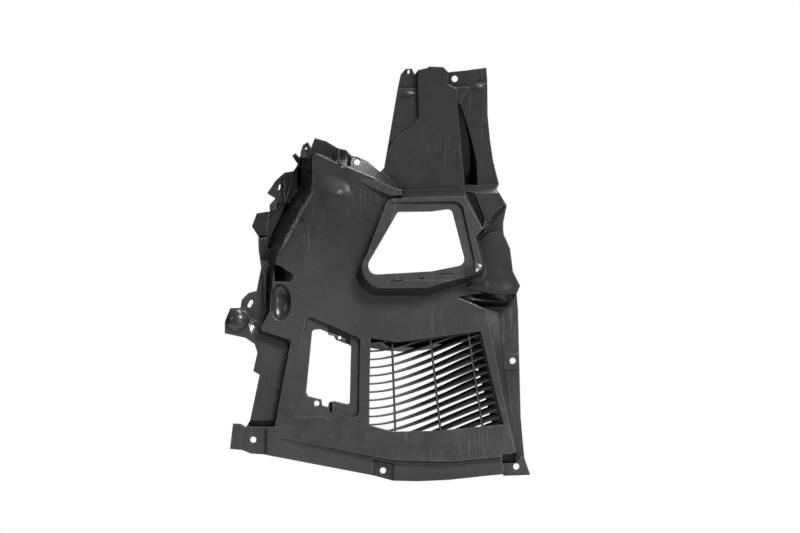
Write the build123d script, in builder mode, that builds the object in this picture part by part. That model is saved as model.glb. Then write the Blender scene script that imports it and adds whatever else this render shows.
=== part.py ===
from build123d import *
import math
import os

# Wheel arch liner, front section: one thin-walled moulding with a louvred duct.
# X runs across the car, Z is up, and the face that looks at the wheel looks along -Y.
# A height is measured towards the wheel, so it is minus Y.
# The origin is the front of the lower middle fixing hole.

# Wall and the curve of the arch
WALL = 2.5
ARCH_RADIUS = 800.0
ARCH_LOW_Z = 190.0
ARCH_LOW_HEIGHT = -6.0
REAR_DATUM = -130.0
FRONT_DATUM = 75.0

# How far each skin lies behind the main panel's arch
TOWER_STEP = 16.0
TOWER_STRIP_STEP = 20.0
TOWER_RECESS_STEP = 21.0
PLATE_STEP = 15.0
LOBE_FLANGE_STEP = 12.0
CHEEK_STEP = 8.0
GUSSET_STEP = 17.0

# Heights of the flat skins
TAB_HEIGHT = 0.0
STRIP_HEIGHT = 6.0
REAR_FLANGE_HEIGHT = -55.0
LEFT_STRIP_HEIGHT = -30.0

# Sloping faces: height, slope across, slope upwards, then the x and z where it has that height
RIGHT_FLANGE_FACE = (-8, 0, -0.11, 0, 0)
FRAME_FACE = (20, 0, -0.075, 0, 232)
SHOULDER_FACE = (8, 0.18, 0, 167, 220)

# Pocket floors
SLOT_FLOOR = -45.0
CORNER_FLOOR = -35.0
CHANNEL_FLOOR = -25.0
GROOVE_FLOOR = (-32, 0, 0.437, 0, 357)
COVER_SEAT_FLOOR = (9.5, -0.03, -0.1, 17.5, 337)
LAMP_SEAT_FLOOR = (-10.5, -0.07, -0.1, -95, 194)
SEAT_FOOT = -37.5

# Fixing holes
HOLE_RADIUS = 3.75

# Outer edge of the moulding, clockwise from the tower's top left
OUTER_EDGE = [
    (21.9, 493.8), (28, 501), (36, 501.5), (39.4, 494.4), (43.8, 499.4), (55, 501.9),
    (57.5, 503.8), (75, 503.1), (81.3, 496.9), (106.3, 499.4), (128.8, 503.1), (130, 488.1),
    (130.6, 444.4), (133.8, 413.1), (137.5, 388.1), (145, 358.1), (142.5, 351.9), (155, 331),
    (150.8, 309.5), (150.8, 295.3), (158.8, 277.4), (162.4, 248.9), (171.3, 231), (167.6, 222),
    (169.4, 200.6), (170.6, 146.1), (172.5, 65.6), (176.9, 15.4), (184.1, -5.6), (150.6, -6.9),
    (149.9, -4.5), (82.9, -11.6), (43, -13.3), (11.1, -12.5), (-15.8, -5.3), (-147.8, 19.9),
    (-165.4, 21.1), (-176.3, 25.6), (-191.3, 26.9), (-187.6, 58.6), (-177.5, 58.1),
    (-171.3, 54.4), (-166.3, 63.1), (-154.6, 119.4), (-162.6, 123.9), (-157.5, 147),
    (-160.9, 157.8), (-172.5, 165.6), (-198.4, 171.1), (-198.4, 185.6), (-191.5, 202.9),
    (-178.8, 203.1), (-177.5, 213.1), (-168.8, 221.9), (-158.8, 224.4), (-153, 253.8),
    (-156.3, 274.4), (-156.9, 292.8), (-165, 305.6), (-158.8, 321.9), (-142.5, 324.4),
    (-142.5, 332.8), (-135.4, 340.6), (-145.9, 346.9), (-135, 363.1), (-123.8, 373.1),
    (-112.5, 374.8), (-107.3, 383.6), (-114.3, 394.1), (-110, 397.6), (-105, 391.9),
    (-100, 406.9), (-93.8, 410.6), (-90, 403.1), (-85, 415.5), (-70.9, 411.5),
    (-56.9, 403.1), (-45.9, 400.6), (-39.6, 393.6), (-31.9, 392), (-19.4, 386.5),
    (-3.8, 373.3), (1.3, 378.1), (18.1, 475.6),
]

# Size of the tool solids, larger than the moulding
REACH = 400.0

# Outlines that lie under a neighbour or beyond the outer edge
REAR_FLANGE = [(-235, 180), (-235, 440), (-60, 440), (-60, 180)]
LEFT_STRIP = [(-235, 150), (-235, 262), (-120, 262), (-120, 150)]
PLATE = [(-235, 35), (-235, 204), (-172, 204), (-166, 186), (-100, 186), (-100, 35)]
LOBE_FLANGE = [(-94, 370), (-94, 435), (-57, 435), (-57, 370)]
BOTTOM_STRIP = [(-145, -30), (-145, 55), (155, 40), (150.2, 20), (150.2, -30)]
LEFT_TAB = [(-225, 10), (-225, 60), (-130, 55), (-130, 10)]
RIGHT_TAB = [(149, -20), (149, 10), (166, 10), (172, 17), (200, 17), (200, -20)]
RIGHT_FLANGE = [(120, -20), (120, 215), (210, 215), (210, -20)]
TOWER = [
    (-75, 330), (-75, 520), (81.3, 520), (81.3, 482), (92.5, 476), (92.5, 458), (102, 357), (102, 330),
]
TOWER_STRIP = [(75, 330), (75, 520), (190, 520), (190, 330)]
GUSSET = [(87, 479), (108, 479), (95, 456)]

# Main panel rim: x, z, then how far its wall leans out for each mm of depth, then corner radius
PANEL_RIM = [
    (-140.6, 43.5, -0.3, -0.3, 0), (-14.4, 18.4, 0, -0.3, 0), (14.3, 13.1, 0, -0.3, 0),
    (82.9, 11.4, 0, -0.3, 0), (146.6, 17, 0, -0.3, 0), (166.8, 22, 0.2, -0.1, 4),
    (130, 190, 0.8, 0, 0), (128, 226, 0.4, 0, 0), (118, 262, 0.2, 0, 0),
    (98, 334, 0.1, 0.2, 6), (26, 336, 0, 0.3, 0), (-10, 365, 0.4, 1, 0),
    (-50, 381.3, 0.4, 1, 0), (-57, 384.5, 0, 0.15, 0),
    (-89, 400, -0.25, 0.1, 6), (-88, 357, -0.3, 0.05, 0),
    (-104, 326, -0.35, 0, 0), (-130, 276, -0.35, 0, 0), (-137, 249, -0.3, 0, 0),
    (-141, 200, -0.2, 0, 0), (-159, 177, -0.2, -0.3, 5), (-114.5, 163, -0.3, -0.3, 5),
    (-134, 58, -0.3, -0.1, 0),
]
PANEL_TOP = 40.0

# Frame around the trapezoid opening, given as the main panel's rim
FRAME_RIM = [
    (7.5, 340, -0.1, 0.5, 14), (102, 343, 0.35, 0.5, 0), (124.5, 302, 0.35, 0.1, 0),
    (115, 291, 0.1, 0.1, 0), (118, 284, 0.1, 0, 0), (124, 249.5, 0.25, -0.3, 12),
    (55, 228.5, 0, -0.4, 0), (-62, 225, -0.12, -0.35, 27),
]

# Cheek right of the frame's channel
CHEEK_RIM = [(95, 230, 0, 0, 0), (95, 347, 0, 0.9, 0), (190, 347, 0, 0.9, 0), (190, 230, 0, 0, 0)]

# Shoulder right of the frame
SHOULDER_RIM = [
    (95, 217.5, -0.1, -0.1, 0), (110, 221.5, 0, -0.5, 0), (190, 222, 0, -0.55, 0),
    (190, 297, 0, 0.2, 0), (125, 299, 0, 0.2, 0), (110, 291, 0, 0.2, 0), (112, 240, 0, 0, 0),
]
SHOULDER_TOP = 30.0

# Openings: x, z and corner radius
TRAPEZOID = [
    (18.5, 323, 3), (60, 323.5, 0), (85.5, 327, 6), (103.5, 257.5, 9), (60.5, 249, 0), (-27, 244, 11),
]
RECTANGLE = [
    (-88.5, 175.5, 4), (-79, 176.5, 0), (-70, 173, 0), (-68, 169.4, 0), (-61.6, 168, 0),
    (-58.8, 163, 0), (-43.8, 157.3, 0), (-40, 155, 0), (-41.6, 84.4, 0), (-44.5, 83, 0),
    (-60.3, 86.6, 0), (-67.5, 85, 0), (-68.9, 79.4, 0), (-76, 81.5, 0), (-76.8, 88.8, 0),
    (-93.3, 93, 0), (-96, 97.4, 0),
]

# Duct behind the grille opening: its mouth on the main panel, and its lean for each mm of depth
DUCT_LEAN_X = -0.2
DUCT_LEAN_Z = -0.33
DUCT_REAR = -42.0
DUCT_MOUTH = [
    (-15.4, 165.6), (17.6, 160.4), (122, 174), (150.8, 57.8), (65.9, 49.8), (12.4, 48.9), (-17, 56.9),
]

# Vanes: they start level on the left, then rise and turn their faces to the wheel
VANE_COUNT = 16
VANE_TOP_Z = 159.4
VANE_PITCH = 10.2
VANE_CHORD = 14.0
VANE_THICKNESS = 1.6
VANE_RECESS = 4.0
VANE_STATIONS = [(-24, -0.5, 2), (16, 3.6, 7), (68, 20.5, 20), (117, 39.5, 28), (158, 55, 32)]

# Ribs that tie the vanes: x and z of the upper end, then of the lower end
RIB_LINES = [(11, 175, 15.6, 35), (57, 185, 73.5, 35), (104.5, 185, 127, 35)]
RIB_THICKNESS = 1.8
RIB_RECESS = 4.5
RIB_DEPTH = 8.0

# Pockets, given as a rim is; each wall leans inwards
TAB_POCKET = [
    (-12.8, 18.4, 0, -0.5, 0), (14.3, 13.1, 0, -0.5, 0), (11.1, -40, 0, 0, 0), (-12, -40, 0, 0, 0),
]
TAB_POCKET_RIM_Z = 15.0
TAB_POCKET_FOOT = -12.0
SLOT_POCKET = [(-168, 62), (-137, 62), (-137, 55), (-168, 55)]
CORNER_POCKET = [(149, 21), (165, 21), (165, 9.4), (149, 9.4)]
TOWER_RECESS = [
    (-60, 388, 0), (5, 396, 0), (13, 410, 0), (24, 422, 0), (38, 429, 0), (45, 440, 0), (45, 560, 0),
    (-60, 560, 0),
]
TOWER_RECESS_LEAN_X = -0.6
TOWER_RECESS_LEAN_Z = 0.7
TOWER_GROOVE = [
    (92.5, 458, 0, 0, 0), (96, 458, -0.05, 0, 0), (117.5, 385, -0.45, 0, 0), (118.5, 357, -0.45, 0, 0),
    (102, 357, 0, 0, 0),
]
CHANNEL = [(103, 349), (114, 347), (127.5, 313), (124.5, 303)]
COVER_SEAT = [
    (8, 335, 0.3, -0.5, 0), (98, 336.6, -0.4, -0.5, 12), (114.5, 262, -0.4, 0, 0),
    (114.5, 238, -0.4, 0, 0), (-60, 238, 0, 0, 0),
]
LAMP_SEAT = [
    (-95.5, 194.5, 0.1, -0.3, 6), (-28, 165, -0.45, -0.3, 6), (-29.6, 67, -0.45, 0.1, 8),
    (-118, 67, 0, 0, 0),
]
DIMPLE_X = -128.5
DIMPLE_Z = 210.0
DIMPLE_HALF_HEIGHT = 24.0
DIMPLE_HALF_WIDTH = 14.0
DIMPLE_RISE = 4.0

# Small raised forms: each a rim, then its face
PADS = {
    "clip_block": (
        [(-57.5, 412, 0, 0, 0), (-46, 412, 0, 0, 0), (-45, 380, 0, 0, 0), (-55.5, 383, 0, 0, 0)],
        (19, 0, 0, 0, 0),
    ),
    "lobe_corner_block": (
        [(-103, 391, 0, 0, 0), (-103, 420, 0, 0, 0), (-90, 420, 0, 0, 0), (-92, 391, 0, 0, 0)],
        (6, 0, 0, 0, 0),
    ),
    "barb_pad": (
        [(-125, 381, 0, 0, 0), (-125, 402, 0, 0, 0), (-102.5, 402, 0, 0, 0), (-105, 381, 0, 0, 0)],
        (-36, 0.2, 0, -105, 390),
    ),
    "gusset_plate": (
        [(-165, 335, 0, 0, 0), (-165, 380, 0, 0, 0), (-108, 380, 0, 0, 0), (-108, 335, 0, 0, 0)],
        (-44, 0.1, 0, -130, 355),
    ),
    "step_pad": (
        [(-155, 325.5, 0, 0, 0), (-155, 337.5, 0, 0, 0), (-134, 337.5, 0, 0, 0), (-134, 325.5, 0, 0, 0)],
        (-38, 0, 0, 0, 0),
    ),
    "left_flap": (
        [(-180, 294, 0, 0, 0), (-180, 324, 0, 0, 0), (-143, 324, 0, 0, 0), (-146, 294, 0, 0, 0)],
        (-42, 0.25, 0, -150, 310),
    ),
    "left_lip": (
        [(-175, 249, 0, 0, 0), (-175, 291, 0, 0, 0), (-146.5, 291, 0, 0, 0), (-143.5, 272, 0, 0, 0),
         (-146.5, 249, 0, 0, 0)],
        (-40, -0.5, 0, -145, 270),
    ),
    "flange_pad": (
        [(152, 146, 0, 0, 3), (190, 146, 0, 0, 0), (190, 126, 0, 0, 0), (152, 126, 0, 0, 3)],
        (-6, 0, -0.11, 0, 0),
    ),
}

# Narrow ridges, solid behind, in the same way
RIDGES = {
    "lobe_roll": (
        [(-31, 364, 0, 0, 0), (-19, 356, 0, 0, 0), (10, 343.5, 0, 0, 0), (24, 344, 0, 0, 0),
         (22, 350, 0, 0, 0), (-7, 362, 0, 0, 0)],
        (13, 0.05, 0, -31, 364),
    ),
    "left_rib": (
        [(-150, 207, 0, 0, 0), (-150.5, 247, 0, 0, 0), (-146.3, 247, 0, 0, 0), (-145.8, 207, 0, 0, 0)],
        (-25, 0, 0, 0, 0),
    ),
}

# Small sunk forms, in the same way
POCKETS = {
    "side_pocket": (
        [(-137, 258, 0, 0, 0), (-128, 255.5, 0, 0, 0), (-113, 245, 0, 0, 0), (-112, 240, 0, 0, 0),
         (-117, 236, 0, 0, 0), (-136, 236.5, 0, 0, 0)],
        (-4, 0.86, 0, -112, 0),
    ),
    "shoulder_scoop": (
        [(93, 216.5, 0, 0, 0), (110, 220.7, 0, 0, 0), (200, 221.5, 0, 0, 0), (200, 199.5, 0, 0, 0),
         (139, 199.5, 0, 0, 0), (124, 203.5, 0, 0, 0), (110, 210, 0, 0, 0)],
        RIGHT_FLANGE_FACE,
    ),
    "cheek_pocket": (
        [(127, 299.5, 0, 0, 0), (139, 322, 0, 0, 0), (151, 331, 0, 0, 0), (175, 331, 0, 0, 0),
         (175, 299.5, 0, 0, 0)],
        (-28, 0, 0, 0, 0),
    ),
    "clip_gap": (
        [(-45, 415, 0, 0, 0), (-40.5, 415, 0, 0, 0), (-40.5, 379.5, 0, 0, 0), (-45, 381, 0, 0, 0)],
        (-8, 0, 0, 0, 0),
    ),
    "clip_recess": (
        [(-54.5, 398.5, 0, 0, 0), (-49, 398.5, 0, 0, 0), (-49, 388, 0, 0, 0),
         (-54.5, 388, 0, 0, 0)],
        (14, 0, 0, 0, 0),
    ),
    "lamp_tab_recess": (
        [(-68.5, 182.5, 0, 0, 0), (-41, 170.5, 0, 0, 0), (-41, 150, 0, 0, 0), (-46.5, 150, 0, 0, 0),
         (-46.5, 164.5, 0, 0, 0), (-68.5, 173.5, 0, 0, 0)],
        (-30, 0, 0, 0, 0),
    ),
    "lamp_slot": (
        [(-67, 87, 0, 0, 0), (-63.5, 87, 0, 0, 0), (-63.5, 72.5, 0, 0, 0), (-67, 72.5, 0, 0, 0)],
        (-20, 0, 0, 0, 0),
    ),
    "tower_tab_step": (
        [(0, 477, 0, 0, 0), (0, 530, 0, 0, 0), (43, 530, 0, 0, 0), (43, 477, 0, 0, 0)],
        (22.3, 0, 0.37, 0, 477),
    ),
    "folded_corner": (
        [(116, 482.5, 0, 0, 0), (116, 530, 0, 0, 0), (150, 530, 0, 0, 0), (150, 482.5, 0, 0, 0)],
        (24, -0.3, 0.37, 116, 482),
    ),
}

# Long narrow beads on the tower: x and z of the middle, half length, half width and height of the axis
BEADS = [(30, 470.5, 13, 4, 21), (118, 479, 9, 3, 26)]

# Soft crown on the lobe: middle, radius of its ball and how far it stands out
CROWN_X = -60.0
CROWN_Z = 351.0
CROWN_RADIUS = 250.0
CROWN_RISE = 1.6
CROWN_ZONE = [(-100, 310, 0), (-100, 372, 0), (-20, 372, 0), (-20, 310, 0)]

# Stiffening ribs on the gusset plate: x and z of both ends
GUSSET_RIBS = [(-124.9, 371, -123.3, 336), (-111.5, 376, -122.5, 336)]
GUSSET_RIB_THICKNESS = 1.8
GUSSET_RIB_FOOT = -45.0
GUSSET_RIB_TOP = -38.0

# Domed boss on the ear
DOME_X = -182.5
DOME_Z = 187.0
DOME_RADIUS = 16.0
DOME_SINK = 7.0

# Fixing holes with a round bore: x and z
ROUND_HOLES = [
    (-162.1, 38.5), (0, 0), (166.6, 5), (162.5, 136.9), (89.4, 488.8), (-32.4, 385.3), (-130.3, 354.5),
]

# Small holes: x, z and radius
SMALL_HOLES = [(-54.3, 165.9, 2), (-82.8, 84, 3.25), (-96, 402.5, 1.2), (-142.5, 225, 1.5)]

# Long holes: x and z of the middle, length, width and turn in degrees
LONG_HOLES = [(31.9, 497.5, 7.5, 5, 80), (-166.5, 208.3, 10, 4.5, 62)]

# Clip slots below the trapezoid opening: x and z of the middle, then length
CLIP_SLOTS = [(16.5, 236.9, 17), (48, 240.1, 7), (78.9, 245.6, 17)]
CLIP_SLOT_WIDTH = 1.3
CLIP_SLOT_TURN = 4.0


def arch_height(z, step=0.0):
    """Height of the arch skin at z, step behind the main panel."""
    radius = ARCH_RADIUS + step
    return ARCH_LOW_HEIGHT + ARCH_RADIUS - math.sqrt(radius**2 - (z - ARCH_LOW_Z) ** 2)


def outline(points, height, grow=0.0):
    """Closed outline at one height, grown outwards; each point is x, z and its corner radius."""
    corners = [(x, z) for x, z, radius in points]
    with BuildSketch(Plane.XZ.offset(height)) as face:
        with BuildLine():
            FilletPolyline(*corners, radius=[radius for x, z, radius in points], close=True)
        make_face()
        if grow:
            offset(amount=grow, kind=Kind.INTERSECTION)
    return face.sketch


def arch_space(step):
    """Space on the wheel's side of an arch skin."""
    centre = (0, -(ARCH_LOW_HEIGHT + ARCH_RADIUS), ARCH_LOW_Z)
    with BuildPart() as space:
        with BuildSketch(Plane(origin=centre, x_dir=(0, 1, 0), z_dir=(1, 0, 0))):
            Circle(ARCH_RADIUS + step)
        extrude(amount=REACH, both=True)
    return space.part


def flat_space(set_back, height, slope_x=0.0, slope_z=0.0, at_x=0.0, at_z=0.0):
    """Space on the wheel's side of a flat skin, which may slope across and upwards."""
    skin = Plane(origin=(at_x, -height, at_z), z_dir=(-slope_x, -1, -slope_z))
    with BuildPart() as space:
        with BuildSketch(skin.offset(-set_back)):
            Rectangle(REACH * 3, REACH * 3)
        extrude(amount=REACH)
    return space.part


def leaning_walls(rim, rim_height, grow=0.0, top=FRONT_DATUM, foot=REAR_DATUM):
    """Solid inside the walls below a rim; each rim point is x, z, its two leans and a radius."""
    sections = []
    for height in (top, foot):
        points = []
        for x, z, lean_x, lean_z, radius in rim:
            depth = rim_height(x, z) - height
            points.append((x + lean_x * depth, z + lean_z * depth, radius))
        sections.append(outline(points, height, grow))
    with BuildPart() as block:
        loft(sections, ruled=True)
    return block.part


def upright_walls(points, grow=0.0):
    """Solid inside upright walls."""
    return leaning_walls([(x, z, 0, 0, 0) for x, z in points], lambda x, z: 0, grow)


def face_height(face, x, z):
    """Height of a sloping face at x and z."""
    height, slope_x, slope_z, at_x, at_z = face
    return height + slope_x * (x - at_x) + slope_z * (z - at_z)


def walls_on(face, rim, grow, **limits):
    """Solid inside the walls below the rim of a sloping face."""
    return leaning_walls(rim, lambda x, z: face_height(face, x, z), grow, **limits)


def dimple_space(grow):
    """Egg-shaped solid that sinks an oval dimple into the panel."""
    axis_height = arch_height(DIMPLE_Z) + DIMPLE_RISE
    middle = Plane(origin=(DIMPLE_X, -axis_height, DIMPLE_Z), x_dir=(0, 1, 0), z_dir=(1, 0, 0))
    half_width = DIMPLE_HALF_WIDTH + grow
    half_height = DIMPLE_HALF_HEIGHT + grow
    with BuildPart() as egg:
        with BuildSketch(middle):
            with BuildLine():
                EllipticalCenterArc((0, 0), half_width, half_height, start_angle=-90, arc_size=180)
                Line((0, half_height), (0, -half_height))
            make_face()
        revolve(axis=Axis(middle.origin, (0, 0, 1)))
    return egg.part


def ridge(rim, face):
    """Solid ridge below a sloping face."""
    with BuildPart() as block:
        add(walls_on(face, rim, 0))
        add(flat_space(0, *face), mode=Mode.SUBTRACT)
    return block.part


def bead(x, z, half_length, half_height, height):
    """Spindle that raises a long narrow bead, its axis across the tower."""
    middle = Plane(origin=(x, -height, z), x_dir=(1, 0, 0), z_dir=(0, -1, 0))
    with BuildPart() as spindle:
        with BuildSketch(middle):
            with BuildLine():
                ThreePointArc((-half_length, 0), (0, half_height), (half_length, 0))
                Line((half_length, 0), (-half_length, 0))
            make_face()
        revolve(axis=Axis(middle.origin, (1, 0, 0)))
    return spindle.part


def liner_form(set_back):
    """Everything behind the liner's front skin, with the skin moved back by set_back."""
    skins = []

    def skin(walls, space):
        with BuildPart() as block:
            add(walls)
            add(space, mode=Mode.SUBTRACT)
        skins.append(block.part)

    flush = -set_back
    skin(upright_walls(REAR_FLANGE, flush), flat_space(set_back, REAR_FLANGE_HEIGHT))
    skin(upright_walls(LEFT_STRIP, flush), flat_space(set_back, LEFT_STRIP_HEIGHT))
    skin(upright_walls(PLATE, flush), arch_space(PLATE_STEP + set_back))
    skin(upright_walls(LOBE_FLANGE, flush), arch_space(LOBE_FLANGE_STEP + set_back))
    skin(upright_walls(LEFT_TAB, flush), flat_space(set_back, TAB_HEIGHT))
    skin(upright_walls(BOTTOM_STRIP, flush), flat_space(set_back, STRIP_HEIGHT))
    skin(upright_walls(RIGHT_TAB, flush), flat_space(set_back, TAB_HEIGHT))
    skin(upright_walls(RIGHT_FLANGE, flush), flat_space(set_back, *RIGHT_FLANGE_FACE))
    skin(upright_walls(TOWER, flush), arch_space(TOWER_STEP + set_back))
    skin(upright_walls(TOWER_STRIP, flush), arch_space(TOWER_STRIP_STEP + set_back))
    skin(upright_walls(GUSSET, flush), arch_space(GUSSET_STEP + set_back))
    cheek_walls = leaning_walls(CHEEK_RIM, lambda x, z: arch_height(z, CHEEK_STEP), flush)
    skin(cheek_walls, arch_space(CHEEK_STEP + set_back))
    panel_walls = leaning_walls(PANEL_RIM, lambda x, z: arch_height(z), flush, top=PANEL_TOP)
    skin(panel_walls, arch_space(set_back))
    shoulder_walls = walls_on(SHOULDER_FACE, SHOULDER_RIM, flush, top=SHOULDER_TOP)
    skin(shoulder_walls, flat_space(set_back, *SHOULDER_FACE))
    skin(walls_on(FRAME_FACE, FRAME_RIM, flush), flat_space(set_back, *FRAME_FACE))
    for rim, face in PADS.values():
        skin(walls_on(face, rim, flush), flat_space(set_back, *face))

    with BuildPart() as dome:
        with Locations((DOME_X, -arch_height(DOME_Z, PLATE_STEP + DOME_SINK), DOME_Z)):
            Sphere(DOME_RADIUS - set_back)
    skins.append(dome.part)
    with BuildPart() as crown:
        with Locations((CROWN_X, CROWN_RADIUS - CROWN_RISE - arch_height(CROWN_Z), CROWN_Z)):
            Sphere(CROWN_RADIUS - set_back)
        extrude(outline(CROWN_ZONE, REAR_DATUM), amount=FRONT_DATUM - REAR_DATUM, mode=Mode.INTERSECT)
    skins.append(crown.part)

    pockets = []

    def sink(walls, space):
        with BuildPart() as tool:
            add(walls)
            add(space, mode=Mode.INTERSECT)
        pockets.append(tool.part)

    tab_rim_height = arch_height(TAB_POCKET_RIM_Z)
    tab_walls = leaning_walls(TAB_POCKET, lambda x, z: tab_rim_height, set_back, foot=TAB_POCKET_FOOT)
    sink(tab_walls, flat_space(set_back, TAB_HEIGHT))
    sink(upright_walls(SLOT_POCKET, set_back), flat_space(set_back, SLOT_FLOOR))
    sink(upright_walls(CORNER_POCKET, set_back), flat_space(set_back, CORNER_FLOOR))
    recess_rim = [(x, z, TOWER_RECESS_LEAN_X, TOWER_RECESS_LEAN_Z, r) for x, z, r in TOWER_RECESS]
    recess_walls = leaning_walls(recess_rim, lambda x, z: arch_height(z, TOWER_STEP), set_back)
    sink(recess_walls, arch_space(TOWER_RECESS_STEP + set_back))
    groove_walls = leaning_walls(TOWER_GROOVE, lambda x, z: arch_height(z, TOWER_STRIP_STEP), set_back,
                                 foot=GROOVE_FLOOR[0] - 2 * WALL)
    sink(groove_walls, flat_space(set_back, *GROOVE_FLOOR))
    sink(upright_walls(CHANNEL, set_back), flat_space(set_back, CHANNEL_FLOOR))
    cover_walls = walls_on(FRAME_FACE, COVER_SEAT, set_back, foot=SEAT_FOOT)
    sink(cover_walls, flat_space(set_back, *COVER_SEAT_FLOOR))
    lamp_walls = leaning_walls(LAMP_SEAT, lambda x, z: arch_height(z), set_back, foot=SEAT_FOOT)
    sink(lamp_walls, flat_space(set_back, *LAMP_SEAT_FLOOR))
    for rim, floor in POCKETS.values():
        sink(walls_on(floor, rim, set_back), flat_space(set_back, *floor))
    pockets.append(dimple_space(set_back))

    with BuildPart() as form:
        for block in skins:
            add(block)
        for tool in pockets:
            add(tool, mode=Mode.SUBTRACT)
    return form.part


def duct_space(grow, rear):
    """Space inside the duct, grown outwards, from the wheel's side back to a height."""
    mouth = [(x, z, DUCT_LEAN_X, DUCT_LEAN_Z, 0) for x, z in DUCT_MOUTH]
    return leaning_walls(mouth, lambda x, z: arch_height(z), grow, foot=rear)


def vane(left_z):
    """One vane, lofted through its stations."""
    sections = []
    for x, rise, turn in VANE_STATIONS:
        z = left_z + rise
        angle = math.radians(turn)
        front_edge = (x, VANE_RECESS - arch_height(z), z)
        station = Plane(origin=front_edge, x_dir=(0, math.cos(angle), math.sin(angle)), z_dir=(1, 0, 0))
        with BuildSketch(station) as section:
            Rectangle(VANE_CHORD, VANE_THICKNESS, align=(Align.MIN, Align.CENTER))
        sections.append(section.sketch)
    with BuildPart() as blade:
        loft(sections)
    return blade.part


def rib(upper_x, upper_z, lower_x, lower_z):
    """One upright rib across the vanes, following the arch."""
    half = RIB_THICKNESS / 2
    corners = [(upper_x - half, upper_z), (upper_x + half, upper_z), (lower_x + half, lower_z),
               (lower_x - half, lower_z)]
    with BuildPart() as strip:
        add(upright_walls(corners))
        add(arch_space(RIB_RECESS), mode=Mode.SUBTRACT)
        add(arch_space(RIB_RECESS + RIB_DEPTH), mode=Mode.INTERSECT)
    return strip.part


def gusset_rib(upper_x, upper_z, lower_x, lower_z):
    """One stiffening rib on the gusset plate."""
    with BuildPart() as strip:
        with BuildSketch(Plane.XZ.offset(GUSSET_RIB_FOOT)):
            with BuildLine():
                spine = Line((upper_x, upper_z), (lower_x, lower_z))
            trace(spine, GUSSET_RIB_THICKNESS)
        extrude(amount=GUSSET_RIB_TOP - GUSSET_RIB_FOOT)
    return strip.part


front_form = liner_form(0)
back_form = liner_form(WALL)
duct_skin = duct_space(WALL, DUCT_REAR)
duct_bore = duct_space(0, REAR_DATUM)
duct_seat = duct_space(WALL / 2, REAR_DATUM)
vanes = [vane(VANE_TOP_Z - index * VANE_PITCH) for index in range(VANE_COUNT)]
ribs = [rib(*line) for line in RIB_LINES]
wheel_space = arch_space(0)

with BuildPart() as louvre:
    for piece in vanes + ribs:
        add(piece)
    add(duct_seat, mode=Mode.INTERSECT)

with BuildPart() as wheel_arch_liner:
    add(front_form)
    for rim, face in RIDGES.values():
        add(ridge(rim, face))
    add(back_form, mode=Mode.SUBTRACT)
    extrude(outline([(x, z, 0) for x, z in OUTER_EDGE], REAR_DATUM), amount=FRONT_DATUM - REAR_DATUM,
            mode=Mode.INTERSECT)
    add(duct_skin.cut(wheel_space))
    add(duct_bore, mode=Mode.SUBTRACT)
    for opening in (TRAPEZOID, RECTANGLE):
        extrude(outline(opening, REAR_DATUM), amount=FRONT_DATUM - REAR_DATUM, mode=Mode.SUBTRACT)
    for bead_x, bead_z, half_length, half_height, height in BEADS:
        add(bead(bead_x, bead_z, half_length, half_height, height))
    for line in GUSSET_RIBS:
        add(gusset_rib(*line))
    with BuildSketch(Plane.XZ.offset(REAR_DATUM)):
        with Locations(*ROUND_HOLES):
            Circle(HOLE_RADIUS)
        for x, z, radius in SMALL_HOLES:
            with Locations((x, z)):
                Circle(radius)
        for x, z, length, width, turn in LONG_HOLES:
            with Locations((x, z)):
                SlotOverall(length, width, rotation=turn)
        for x, z, length in CLIP_SLOTS:
            with Locations((x, z)):
                Rectangle(length, CLIP_SLOT_WIDTH, rotation=CLIP_SLOT_TURN)
    extrude(amount=FRONT_DATUM - REAR_DATUM, mode=Mode.SUBTRACT)
    add(louvre.part)

os.makedirs("parts", exist_ok=True)
wheel_arch_liner.part.label = "wheel_arch_liner"
export_step(wheel_arch_liner.part, "parts/wheel_arch_liner.step")
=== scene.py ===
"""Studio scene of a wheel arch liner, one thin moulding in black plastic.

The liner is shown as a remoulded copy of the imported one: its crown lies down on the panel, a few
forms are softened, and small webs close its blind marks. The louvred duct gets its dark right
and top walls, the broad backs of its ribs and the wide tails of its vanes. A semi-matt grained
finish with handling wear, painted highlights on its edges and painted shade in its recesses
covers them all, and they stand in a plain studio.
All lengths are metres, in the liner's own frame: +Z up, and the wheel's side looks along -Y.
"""

import logging
import math
from collections.abc import Iterable
from dataclasses import dataclass, field
from enum import Enum

import bmesh
import bpy
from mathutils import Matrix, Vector
from mathutils.bvhtree import BVHTree
from mathutils.interpolate import poly_3d_calc


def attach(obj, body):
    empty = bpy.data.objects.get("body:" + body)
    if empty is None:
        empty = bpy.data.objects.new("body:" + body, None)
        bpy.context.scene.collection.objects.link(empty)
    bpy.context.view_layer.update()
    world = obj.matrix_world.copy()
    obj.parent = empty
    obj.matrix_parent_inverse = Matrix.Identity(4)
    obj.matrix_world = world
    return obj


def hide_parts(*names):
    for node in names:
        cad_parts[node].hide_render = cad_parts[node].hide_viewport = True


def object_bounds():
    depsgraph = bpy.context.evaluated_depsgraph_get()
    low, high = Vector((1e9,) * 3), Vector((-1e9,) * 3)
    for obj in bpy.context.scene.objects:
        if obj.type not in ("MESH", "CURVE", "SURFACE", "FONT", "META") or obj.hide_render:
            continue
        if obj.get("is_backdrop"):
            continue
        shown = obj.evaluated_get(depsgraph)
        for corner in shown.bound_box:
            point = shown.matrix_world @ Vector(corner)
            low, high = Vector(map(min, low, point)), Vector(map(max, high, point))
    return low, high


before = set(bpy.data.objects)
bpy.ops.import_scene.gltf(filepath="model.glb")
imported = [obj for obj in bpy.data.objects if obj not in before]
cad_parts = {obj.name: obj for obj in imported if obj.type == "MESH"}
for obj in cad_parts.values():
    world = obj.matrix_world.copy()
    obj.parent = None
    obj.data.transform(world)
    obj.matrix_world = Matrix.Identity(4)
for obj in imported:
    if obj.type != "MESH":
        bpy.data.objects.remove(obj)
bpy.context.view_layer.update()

log = logging.getLogger("wheel_arch_liner")

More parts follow.
